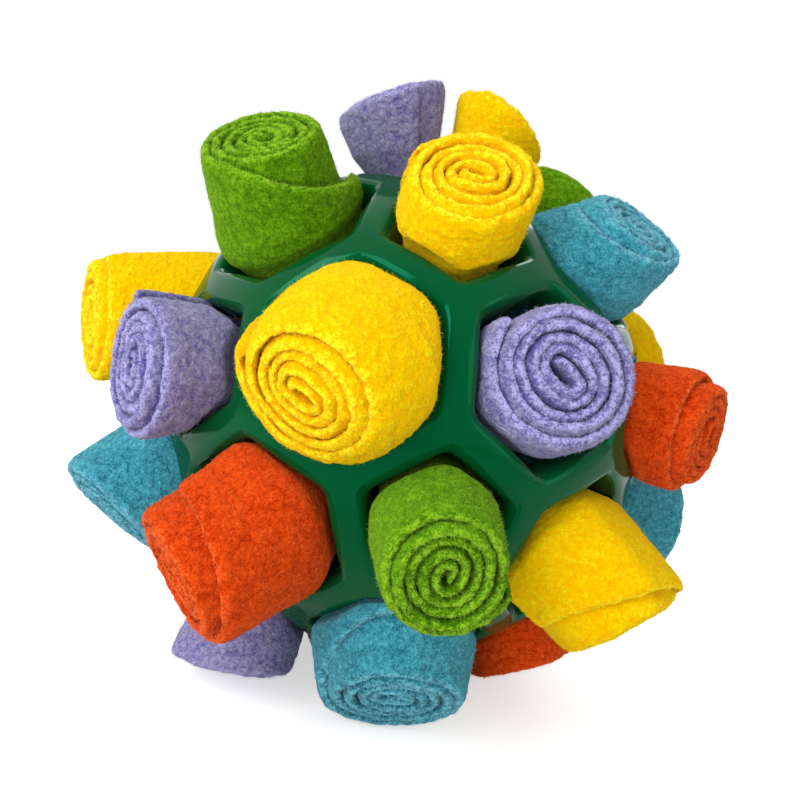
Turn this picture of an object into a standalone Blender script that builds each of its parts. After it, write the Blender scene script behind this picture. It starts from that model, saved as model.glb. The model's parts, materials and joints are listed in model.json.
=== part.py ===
"""A snuffle ball: a moulded rubber lattice ball with a rolled strip of fleece pushed into each hole.

The lattice is a sphere of twenty hexagons and twelve pentagons whose edges are the ribs. Every hole grips
one wound strip by friction, and the top hole grips two. Each roll pulls straight out of its hole. The
object stands on the flat end of its lowest roll, and the ends of the rolls around that one stop just above
the floor. The origin is on the floor, straight below the ball's centre, with +Z up and the side that faces
the viewer towards -Y.
"""
import math
from collections import namedtuple
from itertools import combinations

import bmesh
import bpy
import numpy as np
from mathutils import Matrix, Vector
from mathutils.bvhtree import BVHTree

# Driving dimensions, in metres
BALL_RADIUS = 0.0575  # a lattice ball of 115 mm
RIB_WIDTH = 0.0070  # across a rib's outer face
RIB_DEPTH = 0.0090  # from a rib's outer face to its inner face
FOOT_REACH = 0.0622  # from the ball's centre down to the floor
ROLL_RADIUS = 0.0130  # outer end of a roll
TIP_REACH = 0.0300  # from the ball's centre to the inner ends
PAIR_TIP_REACH = 0.0335  # the same, for two rolls that share a hole
TIP_GAP = 0.0008  # between the inner ends of neighbouring rolls
FLEECE = 0.0020  # thickness of the fleece
CORE_RADIUS = 0.0013  # middle of the strip at its inner end
LEAST_TURN_GAP = 0.0004  # between two turns of one strip
CLEARANCE = 0.00035  # between a roll and the rib that it lies against
SWELL_RISE = 0.0020  # above the ribs, where a roll in a six-sided hole swells most

# Counts, shares and angles
TURNS = 3.0
STRIP_STEPS = 22
STEP_SPREAD = 1.2  # above 1, the outer turns have the shorter steps
FILL_SHARE = 0.97  # a roll's radius in a five-sided hole, over the hole's clear radius
LEAST_SWELL_SHARE = 0.90  # a roll's swell at a six-sided hole, over the hole's clear radius
MOST_SWELL_SHARE = 1.13  # the same, where the ribs leave it the room
PAIR_SHARES = (0.47, 0.72)  # the same for each of a pair: half width and half height
CORNER_CUT = 100 / 3  # per cent of an icosahedron's edge
SEAT_LEVELS = 6
SEAT_HALVINGS = 14
TOP_NEIGHBOUR_AZIMUTH = math.radians(-80)  # the way the pentagon in front of the top hexagon faces
CENTRE = Vector((0, 0, FOOT_REACH))

# Colours, linear
DARK_GREEN = (0.0, 0.125, 0.045)
YELLOW = (1.0, 0.62, 0.0)
PURPLE = (0.25, 0.22, 0.58)
ORANGE = (0.90, 0.10, 0.01)
GREEN = (0.14, 0.40, 0.01)
BLUE = (0.08, 0.37, 0.58)

# faces: azimuth from +X and elevation of the roll's hole, in degrees, to the nearest hole.
# reach_share: how far the outer end's middle lies from the ball's centre, in ball radii.
# strays_shares: how far that middle lies to the right of and above the hole's own axis, in ball radii.
# turned: how far the outer end is turned to the right and up, in degrees.
# lies: the side of the hole that the roll lies against, in degrees from the right.
# size_share: of ROLL_RADIUS. flat_share: the short side of its oval over the long one.
# flat_angle: the way of the short side, and start: where the strip's outer edge ends, both in degrees.
Roll = namedtuple("Roll", "name colour faces reach_share strays_shares turned lies size_share flat_share"
                          " flat_angle start")
ROLLS = (
    Roll("roll_top_left", PURPLE, (0, 90), 1.23, (-0.245, -0.02), (-28, -2), 180, 1.02, 0.88, 0, 250),
    Roll("roll_top_right", YELLOW, (0, 90), 1.19, (0.215, -0.01), (32, 9), 0, 0.88, 0.88, 0, 80),
    Roll("roll_upper_front", YELLOW, (-80, 53), 1.175, (0.005, 0.0), (-14, -7), 200, 1.0, 0.92, 80, 150),
    Roll("roll_upper_front_right", BLUE, (-20, 48), 1.205, (0.0, -0.03), (6, 8), 270, 1.0, 0.90, 80, 200),
    Roll("roll_upper_right", GREEN, (40, 53), 1.30, (-0.02, -0.02), (-5, 5), 180, 0.97, 0.95, 30, 180),
    Roll("roll_upper_back", ORANGE, (100, 48), 1.25, (0.03, 0.04), (8, -5), 60, 1.0, 0.90, 60, 300),
    Roll("roll_upper_back_left", BLUE, (160, 53), 1.20, (0.0, -0.02), (-5, 5), 300, 0.95, 0.92, 0, 20),
    Roll("roll_upper_left", GREEN, (-140, 48), 1.25, (0.025, 0.05), (15, 7), 80, 1.02, 0.90, 90, 215),
    Roll("roll_high_left", YELLOW, (-178, 20), 1.30, (0.06, -0.25), (32, -18), 270, 1.06, 0.90, 10, 120),
    Roll("roll_high_front_left", PURPLE, (-140, 11), 1.19, (0.0, -0.06), (0, -8), 270, 1.1, 0.92, 0, 60),
    Roll("roll_high_front", YELLOW, (-102, 20), 1.12, (-0.08, -0.18), (-10, -36), 245, 0.98, 0.90, 40, 30),
    Roll("roll_high_front_right", PURPLE, (-58, 20), 1.10, (-0.09, -0.02), (-40, -8), 20, 1.03, 0.94, 30, 130),
    Roll("roll_high_right", ORANGE, (-20, 11), 1.23, (-0.01, -0.09), (-19, -13), 270, 1.03, 0.92, 0, 170),
    Roll("roll_high_right_back", YELLOW, (17, 20), 1.155, (0.01, -0.03), (-3, 4), 90, 0.96, 0.92, 45, 0),
    Roll("roll_high_back_right", PURPLE, (62, 20), 1.25, (-0.04, -0.05), (-8, -10), 230, 1.02, 0.90, 60, 90),
    Roll("roll_high_back", GREEN, (100, 11), 1.21, (0.02, -0.01), (5, 4), 340, 0.98, 0.93, 20, 240),
    Roll("roll_high_back_left", ORANGE, (137, 20), 1.23, (0.06, 0.02), (12, 4), 15, 1.05, 0.88, 100, 310),
    Roll("roll_low_left", BLUE, (-162, -20), 1.25, (0.02, -0.08), (22, -26), 270, 1.0, 0.90, 15, 45),
    Roll("roll_low_front_left", ORANGE, (-118, -20), 1.26, (-0.035, 0.035), (-20, -6), 150, 1.05, 0.92, 60, 140),
    Roll("roll_low_front", GREEN, (-80, -11), 1.27, (-0.02, -0.005), (-5, 8), 200, 0.9, 0.95, 20, 175),
    Roll("roll_low_front_right", YELLOW, (-42, -20), 1.20, (-0.045, -0.065), (-13, -34), 240, 1.15, 0.88, 80, 60),
    Roll("roll_low_right", BLUE, (2, -20), 1.255, (0.025, 0.09), (0, 8), 90, 1.0, 0.90, 120, 200),
    Roll("roll_low_back_right", ORANGE, (40, -11), 1.22, (0.0, 0.03), (-4, 6), 100, 0.97, 0.93, 150, 330),
    Roll("roll_low_back", YELLOW, (77, -20), 1.24, (0.05, -0.05), (10, -8), 315, 1.04, 0.90, 30, 75),
    Roll("roll_low_back_left", PURPLE, (122, -20), 1.26, (-0.05, 0.01), (-9, 3), 170, 1.0, 0.90, 75, 260),
    Roll("roll_low_left_back", GREEN, (160, -11), 1.20, (0.0, 0.02), (3, -5), 90, 0.98, 0.94, 0, 110),
    Roll("roll_lower_front_left", PURPLE, (-140, -53), 1.225, (0.045, -0.055), (14, -22), 130, 1.08, 0.93, 45, 15),
    Roll("roll_lower_front", BLUE, (-80, -48), 1.17, (-0.01, 0.02), (-2, 12), 90, 1.1, 0.90, 85, 350),
    Roll("roll_lower_front_right", ORANGE, (-20, -53), 1.135, (0.005, 0.005), (-11, -10), 60, 1.0, 0.92, 130, 90),
    Roll("roll_lower_back_right", GREEN, (40, -48), 1.22, (0.03, 0.02), (6, 8), 30, 1.0, 0.90, 10, 280),
    Roll("roll_lower_back", BLUE, (100, -53), 1.185, (-0.02, 0.02), (-4, 5), 140, 0.97, 0.93, 50, 160),
    Roll("roll_lower_left", ORANGE, (160, -48), 1.23, (-0.04, 0.03), (-8, 6), 150, 1.02, 0.90, 95, 40),
    Roll("roll_bottom", PURPLE, (0, -90), FOOT_REACH / BALL_RADIUS, (0.0, 0.0), (0, 0), 0, 1.04, 0.96, 0, 180),
)

# Where a roll goes: its hole, the room for its inner end, whether it has the room to swell just outside
# the hole, and whether another roll shares the hole
Place = namedtuple("Place", "axis clear_radius tip_radius swells paired")
# One flat cut through the wound strip: its middle, two unit ways across it and the oval's half sizes
Section = namedtuple("Section", "middle across along half_width half_height")


def clear_scene():
    for old in list(bpy.data.objects):
        bpy.data.objects.remove(old)


def new_material(name, colour, roughness):
    material = bpy.data.materials.new(name)
    material.use_nodes = True
    shader = material.node_tree.nodes["Principled BSDF"]
    shader.inputs["Base Color"].default_value = (*colour, 1)
    shader.inputs["Roughness"].default_value = roughness
    shader.inputs["Metallic"].default_value = 0
    return material


def new_object(name, mesh, material, collection):
    made = bpy.data.objects.new(name, mesh)
    mesh.materials.append(material)
    collection.objects.link(made)
    return made


def facing(azimuth, elevation):
    """The unit vector that faces this way, both angles in degrees."""
    turn, rise = math.radians(azimuth), math.radians(elevation)
    return Vector((math.cos(turn) * math.cos(rise), math.sin(turn) * math.cos(rise), math.sin(rise)))


def football_cage():
    """A sphere of hexagons and pentagons: an icosahedron whose corners are cut at a third of each edge."""
    cage = bmesh.new()
    bmesh.ops.create_icosphere(cage, subdivisions=1, radius=BALL_RADIUS)
    bmesh.ops.bevel(cage, geom=cage.verts[:], offset=CORNER_CUT, offset_type="PERCENT",
                    affect="VERTICES", segments=1, profile=0.5, material=-1)
    hexagons = [face for face in cage.faces if len(face.verts) == 6]
    top = max(hexagons, key=lambda face: face.calc_center_median().z).calc_center_median()
    upright = top.rotation_difference(Vector((0, 0, 1))).to_matrix()
    bmesh.ops.rotate(cage, verts=cage.verts[:], matrix=upright)
    pentagons = [face.calc_center_median() for face in cage.faces if len(face.verts) == 5]
    beside = max(pentagons, key=lambda middle: middle.z)
    turn = TOP_NEIGHBOUR_AZIMUTH - math.atan2(beside.y, beside.x)
    bmesh.ops.rotate(cage, verts=cage.verts[:], matrix=Matrix.Rotation(turn, 3, "Z"))
    return cage


def make_lattice(collection):
    """The moulded ball. Returns it and its holes: the unit axis of each and its number of sides."""
    cage = football_cage()
    openings = cage.faces[:]
    holes = [(face.calc_center_median().normalized(), len(face.verts)) for face in openings]
    bmesh.ops.inset_individual(cage, faces=openings, thickness=RIB_WIDTH / 2, use_even_offset=True)
    bmesh.ops.delete(cage, geom=openings, context="FACES")
    for vert in cage.verts:
        vert.co = vert.co.normalized() * BALL_RADIUS
    bmesh.ops.recalc_face_normals(cage, faces=cage.faces[:])
    mesh = bpy.data.meshes.new("lattice_ball")
    cage.to_mesh(mesh)
    cage.free()
    mesh.shade_smooth()
    ball = new_object("lattice_ball", mesh, new_material("ball_rubber", DARK_GREEN, 0.25), collection)
    ball.location = CENTRE
    wall = ball.modifiers.new("wall", "SOLIDIFY")
    wall.thickness = RIB_DEPTH
    wall.offset = -1
    wall.use_even_offset = True
    rounded = ball.modifiers.new("rounded", "SUBSURF")
    rounded.levels = 1
    rounded.render_levels = 1
    return ball, holes


def clear_radius(tree, axis):
    """The radius of the widest straight rod that passes through the hole on this axis."""
    depths = np.linspace(BALL_RADIUS - RIB_DEPTH, BALL_RADIUS, SEAT_LEVELS)
    return min(tree.find_nearest(axis * depth)[3] for depth in depths)


def ways_across(axis):
    """Unit vectors to the right and up, as seen by someone who looks into the hole from outside."""
    up = Vector((0, 0, 1)) if abs(axis.z) < 0.99 else Vector((0, 1, 0))
    up = (up - axis * up.dot(axis)).normalized()
    return up.cross(axis), up


def across_plane(way, normal):
    return (way - normal * way.dot(normal)).normalized()


def tip_room(reach, axes):
    """The radius that an inner end can have at this distance from the ball's centre."""
    narrowest = min(first.angle(second) for first, second in combinations(axes, 2))
    return reach * math.sin(narrowest / 2) - TIP_GAP / 2


def roll_sections(roll, place, shift, swell_share):
    """The wound strip's three sections: inner end, at the hole, outer end. shift moves it in the hole."""
    axis = place.axis
    right, up = ways_across(axis)
    lies = right * math.cos(math.radians(roll.lies)) + up * math.sin(math.radians(roll.lies))
    flat = right * math.cos(math.radians(roll.flat_angle)) + up * math.sin(math.radians(roll.flat_angle))
    if place.paired:
        half_tip = place.tip_radius / 2 - CLEARANCE / 2
        tip_sizes = half_tip, place.tip_radius * PAIR_SHARES[1]
        waist_sizes = [share * place.clear_radius for share in PAIR_SHARES]
        tip = axis * PAIR_TIP_REACH + lies * (half_tip + CLEARANCE)
        waist_shift = waist_sizes[0] + CLEARANCE + shift
    else:
        waist_radius = swell_share * place.clear_radius
        tip_sizes = place.tip_radius, place.tip_radius
        waist_sizes = waist_radius, waist_radius
        tip = axis * TIP_REACH
        waist_shift = shift
    waist_reach = BALL_RADIUS + SWELL_RISE if place.swells else BALL_RADIUS - RIB_DEPTH / 2
    waist = axis * waist_reach + lies * waist_shift
    strays = right * roll.strays_shares[0] + up * roll.strays_shares[1]
    end = (axis * roll.reach_share + strays) * BALL_RADIUS
    turned = Vector([math.sin(math.radians(angle)) for angle in roll.turned])
    end_normal = axis * math.sqrt(1 - turned.length_squared) + right * turned.x + up * turned.y
    stretch = math.sqrt(roll.flat_share)
    end_radius = ROLL_RADIUS * roll.size_share
    end_sizes = end_radius * stretch, end_radius / stretch
    sections = []
    for middle, normal, sizes in (
        (tip, axis, tip_sizes),
        (waist, (axis * 3 + end_normal).normalized(), waist_sizes),
        (end, end_normal, end_sizes),
    ):
        across = across_plane(flat, normal)
        sections.append(Section(middle, across, normal.cross(across), *sizes))
    return sections


def wound_strip(start):
    """Points along both faces of the strip, outer face then inner, on a roll of radius 1."""
    outer_middle = 1 - FLEECE / ROLL_RADIUS / 2
    core_middle = CORE_RADIUS / ROLL_RADIUS
    faces = []
    for side in (1, -1):
        points = []
        for step in range(STRIP_STEPS + 1):
            share = (step / STRIP_STEPS) ** STEP_SPREAD
            angle = math.radians(start) + share * TURNS * math.tau
            radius = outer_middle + (core_middle - outer_middle) * share + side * FLEECE / ROLL_RADIUS / 2
            points.append((radius * math.cos(angle), radius * math.sin(angle)))
        faces.append(points)
    return faces


def on_section(section, point):
    across = section.across * (section.half_width * point[0])
    return section.middle + across + section.along * (section.half_height * point[1])


def along_chords(points, parts):
    """The points with others put evenly on the chords between them."""
    filled = []
    for first, second in zip(points[:-1], points[1:]):
        filled += [first + (second - first) * (part / parts) for part in range(parts)]
    return filled + [points[-1]]


def least_turn_gap(section, strip):
    """The least distance from the strip's inner face to the outer face of the turns inside it."""
    outer, inner = ([on_section(section, point) for point in face] for face in strip)
    parts = 4
    outer = np.array(along_chords(outer, parts))
    inner = np.array(along_chords(inner, parts))
    gaps = np.linalg.norm(inner[:, None] - outer[None], axis=2)
    later = np.arange(len(outer))[None] - np.arange(len(inner))[:, None]
    half_turn = parts * STRIP_STEPS / TURNS / 2
    return gaps[later > half_turn].min()


def least_ball_gap(tree, sections, strip):
    """The least signed distance from the roll's outermost turn to the ball, negative inside a rib."""
    rings = [[on_section(section, point) for point in strip[0]] for section in sections]
    outermost = [step for step in range(STRIP_STEPS + 1) if (step / STRIP_STEPS) ** STEP_SPREAD * TURNS <= 1.1]
    least = BALL_RADIUS
    for lower, upper in zip(rings[:-1], rings[1:]):
        for level in np.linspace(0, 1, SEAT_LEVELS):
            ring = [lower[step].lerp(upper[step], level) for step in outermost]
            for point in along_chords(ring, 2):
                nearest, normal, _, distance = tree.find_nearest(point)
                least = min(least, math.copysign(distance, (point - nearest).dot(normal)))
    return least


def most_that_fits(least, most, gap_at):
    """The largest value from least to most at which the roll keeps its clearance to the ribs."""
    if gap_at(most) >= CLEARANCE:
        return most
    for _ in range(SEAT_HALVINGS):
        trial = (least + most) / 2
        if gap_at(trial) >= CLEARANCE:
            least = trial
        else:
            most = trial
    return least


def seated_sections(tree, roll, place, strip):
    """The roll's sections once it has swelled, and been pushed sideways until it lies against the rib."""
    swell_share = FILL_SHARE
    if place.swells:
        swell_share = most_that_fits(LEAST_SWELL_SHARE, MOST_SWELL_SHARE, lambda share: least_ball_gap(
            tree, roll_sections(roll, place, 0, share), strip))
    shift = most_that_fits(0, RIB_WIDTH, lambda shift: least_ball_gap(
        tree, roll_sections(roll, place, shift, swell_share), strip))
    return roll_sections(roll, place, shift, swell_share)


def loft_strip(name, sections, strip):
    """One closed band: the strip's outline at each section, joined from the inner end to the outer one."""
    outline = strip[0] + strip[1][::-1]
    count = len(outline)
    band = bmesh.new()
    rows = [[band.verts.new(on_section(section, point)) for point in outline] for section in sections]
    for lower, upper in zip(rows[:-1], rows[1:]):
        for place in range(count):
            following = (place + 1) % count
            band.faces.new((lower[place], lower[following], upper[following], upper[place]))
    for row in (rows[0], rows[-1]):
        for step in range(STRIP_STEPS):
            band.faces.new((row[step], row[step + 1], row[count - 2 - step], row[count - 1 - step]))
    bmesh.ops.recalc_face_normals(band, faces=band.faces[:])
    mesh = bpy.data.meshes.new(name)
    band.to_mesh(mesh)
    band.free()
    return mesh


def make_rolls(collection, ball, holes):
    """A wound strip in every hole, each with its origin on the axis that it slides along."""
    fleeces = {colour: new_material(name, colour, 0.95) for name, colour in (
        ("fleece_yellow", YELLOW), ("fleece_purple", PURPLE), ("fleece_orange", ORANGE),
        ("fleece_green", GREEN), ("fleece_blue", BLUE))}
    tree = BVHTree.FromObject(ball, bpy.context.evaluated_depsgraph_get())
    axes = [axis for axis, _ in holes]
    rooms = {paired: tip_room(PAIR_TIP_REACH if paired else TIP_REACH, axes) for paired in (False, True)}
    shared = [roll.faces for roll in ROLLS]
    turn_gap = ball_gap = BALL_RADIUS
    for roll in ROLLS:
        axis, sides = max(holes, key=lambda hole: facing(*roll.faces).dot(hole[0]))
        paired = shared.count(roll.faces) > 1
        place = Place(axis, clear_radius(tree, axis), rooms[paired], sides == 6 and not paired, paired)
        strip = wound_strip(roll.start)
        sections = seated_sections(tree, roll, place, strip)
        turn_gap = min([turn_gap] + [least_turn_gap(section, strip) for section in sections])
        ball_gap = min(ball_gap, least_ball_gap(tree, sections, strip))
        base = axis * BALL_RADIUS
        mesh = loft_strip(roll.name, [section._replace(middle=section.middle - base) for section in sections],
                          strip)
        made = new_object(roll.name, mesh, fleeces[roll.colour], collection)
        made.location = CENTRE + base
    print("least gap between turns, mm", round(turn_gap * 1000, 2), "allowed", LEAST_TURN_GAP * 1000)
    print("least gap to the ball, mm", round(ball_gap * 1000, 2))


clear_scene()
parts = bpy.data.collections.new("snuffle_ball")
bpy.context.scene.collection.children.link(parts)
lattice, lattice_holes = make_lattice(parts)
bpy.context.view_layer.update()
make_rolls(parts, lattice, lattice_holes)
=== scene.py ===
import json
import math
from collections import namedtuple

import bmesh
import bpy
import numpy as np
from mathutils import Matrix, Vector
from mathutils.bvhtree import BVHTree


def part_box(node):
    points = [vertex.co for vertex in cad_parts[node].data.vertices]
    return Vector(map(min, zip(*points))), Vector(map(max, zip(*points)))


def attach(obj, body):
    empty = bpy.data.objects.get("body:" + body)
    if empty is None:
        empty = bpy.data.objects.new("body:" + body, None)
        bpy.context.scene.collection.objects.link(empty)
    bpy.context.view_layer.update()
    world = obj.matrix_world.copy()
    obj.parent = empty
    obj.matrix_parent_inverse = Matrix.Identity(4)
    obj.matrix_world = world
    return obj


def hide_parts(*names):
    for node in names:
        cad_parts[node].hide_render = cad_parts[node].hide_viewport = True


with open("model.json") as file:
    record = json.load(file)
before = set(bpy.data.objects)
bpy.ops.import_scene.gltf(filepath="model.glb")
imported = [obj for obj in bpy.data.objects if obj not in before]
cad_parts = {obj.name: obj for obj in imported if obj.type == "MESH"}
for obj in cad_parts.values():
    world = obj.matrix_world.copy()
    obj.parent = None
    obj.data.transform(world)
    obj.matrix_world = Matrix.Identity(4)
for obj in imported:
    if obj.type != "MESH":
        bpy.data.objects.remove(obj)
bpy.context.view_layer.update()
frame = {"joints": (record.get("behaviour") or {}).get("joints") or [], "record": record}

# The ball
# One hollow moulding of glossy dark green rubber. Its ribs follow the edges of a football's panels, so
# it has twenty six-sided holes and twelve five-sided ones, with rounded corners and radial walls.
BALL_RADIUS = 0.0575
RIB_WIDTH = 0.0070
RIB_DEPTH = 0.0090
RIB_EDGE = 0.0023  # rounding of a rib's edges
CORNER_CUT = 100 / 3  # per cent of an icosahedron's edge
RIB_CUTS = 1  # cuts across each rib, so that it follows the ball
ROUNDED_FROM = math.radians(50)  # the bend between two faces from which their edge is rounded

ball_low, ball_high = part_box("lattice_ball")
BALL_CENTRE = (ball_low + ball_high) / 2
pulls = {joint["child"]: Vector(joint["axis"]).normalized() for joint in frame["joints"]}

cage = bmesh.new()
bmesh.ops.create_icosphere(cage, subdivisions=1, radius=BALL_RADIUS)
bmesh.ops.bevel(cage, geom=cage.verts[:], offset=CORNER_CUT, offset_type="PERCENT", affect="VERTICES",
                segments=1, profile=0.5, material=-1)
hexagons = [face.calc_center_median() for face in cage.faces if len(face.verts) == 6]
top_hexagon = max(hexagons, key=lambda middle: middle.z)
upright = top_hexagon.rotation_difference(Vector((0, 0, 1))).to_matrix()
bmesh.ops.rotate(cage, verts=cage.verts[:], matrix=upright)
pentagons = [face.calc_center_median() for face in cage.faces if len(face.verts) == 5]
beside_top = max(pentagons, key=lambda middle: middle.z)
front = pulls["roll_upper_front"]
to_front = math.atan2(front.y, front.x) - math.atan2(beside_top.y, beside_top.x)
bmesh.ops.rotate(cage, verts=cage.verts[:], matrix=Matrix.Rotation(to_front, 3, "Z"))
openings = cage.faces[:]
bmesh.ops.inset_individual(cage, faces=openings, thickness=RIB_WIDTH / 2, use_even_offset=True)
bmesh.ops.delete(cage, geom=openings, context="FACES")
across_ribs = {edge for face in cage.faces for edge in face.edges
               if not edge.is_boundary and edge.calc_length() < RIB_WIDTH}
along_ribs = [edge for edge in cage.edges if edge not in across_ribs]
bmesh.ops.subdivide_edges(cage, edges=along_ribs, cuts=RIB_CUTS, use_grid_fill=True)
for vert in cage.verts:
    vert.co = BALL_CENTRE + vert.co.normalized() * BALL_RADIUS
bmesh.ops.recalc_face_normals(cage, faces=cage.faces[:])
ball_mesh = bpy.data.meshes.new("ball")
cage.to_mesh(ball_mesh)
cage.free()
ball_mesh.shade_smooth()
ball = bpy.data.objects.new("ball", ball_mesh)
bpy.context.scene.collection.objects.link(ball)
wall = ball.modifiers.new("wall", "SOLIDIFY")
wall.thickness = RIB_DEPTH
wall.offset = -1
wall.use_even_offset = True
edges = ball.modifiers.new("edges", "BEVEL")
edges.width = RIB_EDGE
edges.segments = 3
edges.limit_method = "ANGLE"
edges.angle_limit = ROUNDED_FROM
rounded = ball.modifiers.new("rounded", "SUBSURF")
rounded.levels = 2
rounded.render_levels = 2


def add_node(tree, kind, links=(), **settings):
    """A shader node with its settings, and links from other sockets into its inputs."""
    node = tree.nodes.new(kind)
    for name, value in settings.items():
        setattr(node, name, value)
    for socket, source in links:
        if isinstance(source, bpy.types.NodeSocket):
            tree.links.new(source, node.inputs[socket])
        else:
            node.inputs[socket].default_value = source
    return node


# Rubber: painted shade, darker down the walls of the holes where little light reaches, with faint cloudy flow
# marks
RUBBER_OUTER = (0.0, 0.062, 0.014, 1)
# painted shade: the rubber's colour deep down the walls of the holes
RUBBER_PAINTED_SHADE = (0.0, 0.018, 0.004, 1)
RUBBER_GLOSS = (0.04, 0.80, 0.45, 1)
CLOUD_SCALE = 45.0
CLOUD_SHARE = 0.5  # of the way from outer to deep colour that the flow marks reach
RIPPLE_SCALE = 160.0
RIPPLE_HEIGHT = 0.0003
rubber = bpy.data.materials.new("green_rubber")
rubber.use_nodes = True
nodes = rubber.node_tree
shader = nodes.nodes["Principled BSDF"]
place = add_node(nodes, "ShaderNodeTexCoord")
from_centre = add_node(nodes, "ShaderNodeVectorMath", [(0, place.outputs["Object"]), (1, BALL_CENTRE)],
                       operation="DISTANCE")
# painted shade: from the deep colour down the walls to the outer colour at the ribs' faces
depth = add_node(nodes, "ShaderNodeMapRange", [
    ("Value", from_centre.outputs["Value"]), ("From Min", BALL_RADIUS - RIB_DEPTH),
    ("From Max", BALL_RADIUS - RIB_EDGE / 2)])
clouds = add_node(nodes, "ShaderNodeTexNoise", [("Vector", place.outputs["Object"]), ("Scale", CLOUD_SCALE)])
cloudy = add_node(nodes, "ShaderNodeMath", [
    (0, clouds.outputs["Fac"]), (1, CLOUD_SHARE), (2, -CLOUD_SHARE / 2)], operation="MULTIPLY_ADD")
lightness = add_node(nodes, "ShaderNodeMath", [(0, depth.outputs["Result"]), (1, cloudy.outputs["Value"])],
                     operation="ADD", use_clamp=True)
tone = add_node(nodes, "ShaderNodeMix", [
    ("Factor", lightness.outputs["Value"]), ("A", RUBBER_PAINTED_SHADE), ("B", RUBBER_OUTER)], data_type="RGBA")
nodes.links.new(tone.outputs["Result"], shader.inputs["Base Color"])
ripple = add_node(nodes, "ShaderNodeTexNoise", [
    ("Vector", place.outputs["Object"]), ("Scale", RIPPLE_SCALE)])
sheen_of_mould = add_node(nodes, "ShaderNodeMapRange", [
    ("Value", ripple.outputs["Fac"]), ("To Min", 0.06), ("To Max", 0.14)])
nodes.links.new(sheen_of_mould.outputs["Result"], shader.inputs["Roughness"])
waves = add_node(nodes, "ShaderNodeBump", [
    ("Height", ripple.outputs["Fac"]), ("Strength", 0.25), ("Distance", RIPPLE_HEIGHT)])
nodes.links.new(waves.outputs["Normal"], shader.inputs["Normal"])
shader.inputs["IOR"].default_value = 1.42
shader.inputs["Specular Tint"].default_value = RUBBER_GLOSS
ball_mesh.materials.append(rubber)
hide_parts("lattice_ball")
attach(ball, "ball")

# The rolls as cut
# Each is one straight strip of polar fleece, 42 mm wide and about 2 mm thick, with soft rounded edges.
# The flat strip is meshed once: along runs down its length, round goes about its thickness.
STRIP_WIDTH = 0.042
STRIP_LENGTH = 0.230
FLEECE = 0.0021  # its thickness
NEAR = FLEECE / 100  # places closer than this count as the same
LIP = 0.0010  # how far back the rounding of a cut edge reaches
COLUMNS = 360
# How far up its width the rows of points lie on either face, closer together towards the edge that shows.
FACE_ROWS = (0, 0.008, 0.016, 0.020, 0.024, 0.028, 0.032, 0.036, 0.0375, 0.0388, 0.0397, 0.0404, 0.0408)
BACK_ROWS = (0.0408, 0.0404, 0.0397, 0.0388, 0.0375, 0.035, 0.030, 0.020, 0)
ROW_CUTS = ((0.0040, 5), (0.0015, 2), (0.0013, 2), (0.0009, 1), (0.0007, 1))  # spacing of rows, cuts
LIP_STEPS = 8
LIP_SQUARENESS = 0.95  # 1 is an oval lip, and less is squarer
OPEN_FROM = 0.020  # the outermost turn shows from this far up its width
OUTER_LENGTH = 0.088  # strip in the outermost turn, which is meshed more finely where it shows

lip_bends = [math.pi * step / LIP_STEPS for step in range(LIP_STEPS + 1)]
profile = [(row, FLEECE / 2) for row in FACE_ROWS]
profile += [(STRIP_WIDTH - LIP + LIP * math.sin(bend) ** LIP_SQUARENESS,
             math.copysign(FLEECE / 2 * abs(math.cos(bend)) ** LIP_SQUARENESS, math.cos(bend)))
            for bend in lip_bends]
profile += [(row, -FLEECE / 2) for row in BACK_ROWS]
profile = np.array(profile)
round_steps = np.linalg.norm(np.diff(profile, axis=0), axis=1)
round_at = np.concatenate([[0], np.cumsum(round_steps)])
round_lip = np.interp(0, -profile[:, 1], round_at)

strip = bmesh.new()
bmesh.ops.create_grid(strip, x_segments=COLUMNS, y_segments=len(profile) - 1, size=0.5)
for vert in strip.verts:
    row = round((vert.co.y + 0.5) * (len(profile) - 1))
    vert.co = ((vert.co.x + 0.5) * STRIP_LENGTH, round_at[row], 0)
face_end = round_at[len(FACE_ROWS)]
for spacing, cuts in ROW_CUTS:
    wide = [edge for edge in strip.edges
            if edge.verts[0].co.x < OUTER_LENGTH and edge.verts[1].co.x < OUTER_LENGTH
            and abs(edge.calc_length() - spacing) < NEAR
            and abs(edge.verts[0].co.x - edge.verts[1].co.x) < NEAR
            and OPEN_FROM - FLEECE < (edge.verts[0].co.y + edge.verts[1].co.y) / 2 < face_end]
    bmesh.ops.subdivide_edges(strip, edges=wide, cuts=cuts, use_grid_fill=True)
along_layer = strip.verts.layers.float.new("along")
round_layer = strip.verts.layers.float.new("round")
for vert in strip.verts:
    vert[along_layer], vert[round_layer] = vert.co.x, vert.co.y
    width_place = np.interp(vert.co.y, round_at, profile[:, 0])
    vert.co = (vert.co.x, width_place, np.interp(vert.co.y, round_at, profile[:, 1]))
rim = [vert for vert in strip.verts if vert.co.y < NEAR]
bmesh.ops.weld_verts(strip, targetmap={
    vert: min((other for other in rim if other.co.z > 0), key=lambda other: abs(other.co.x - vert.co.x))
    for vert in rim if vert.co.z < 0})
bmesh.ops.holes_fill(strip, edges=[edge for edge in strip.edges if edge.is_boundary], sides=0)
bmesh.ops.triangulate(strip, faces=[face for face in strip.faces if len(face.verts) > 4])
bmesh.ops.recalc_face_normals(strip, faces=strip.faces[:])
flat_strip = bpy.data.meshes.new("flat_strip")
strip.to_mesh(flat_strip)
strip.free()
flat_strip.shade_smooth()


def read_floats(mesh, name):
    values = np.zeros(len(mesh.vertices), np.float32)
    mesh.attributes[name].data.foreach_get("value", values)
    return values.astype(float)


def write_floats(mesh, name, values):
    kept = mesh.attributes.get(name) or mesh.attributes.new(name, "FLOAT", "POINT")
    kept.data.foreach_set("value", values.astype(np.float32))


strip_along = read_floats(flat_strip, "along")
strip_round = read_floats(flat_strip, "round")
strip_up = np.interp(strip_round, round_at, profile[:, 0])
strip_out = np.interp(strip_round, round_at, profile[:, 1])

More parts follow.
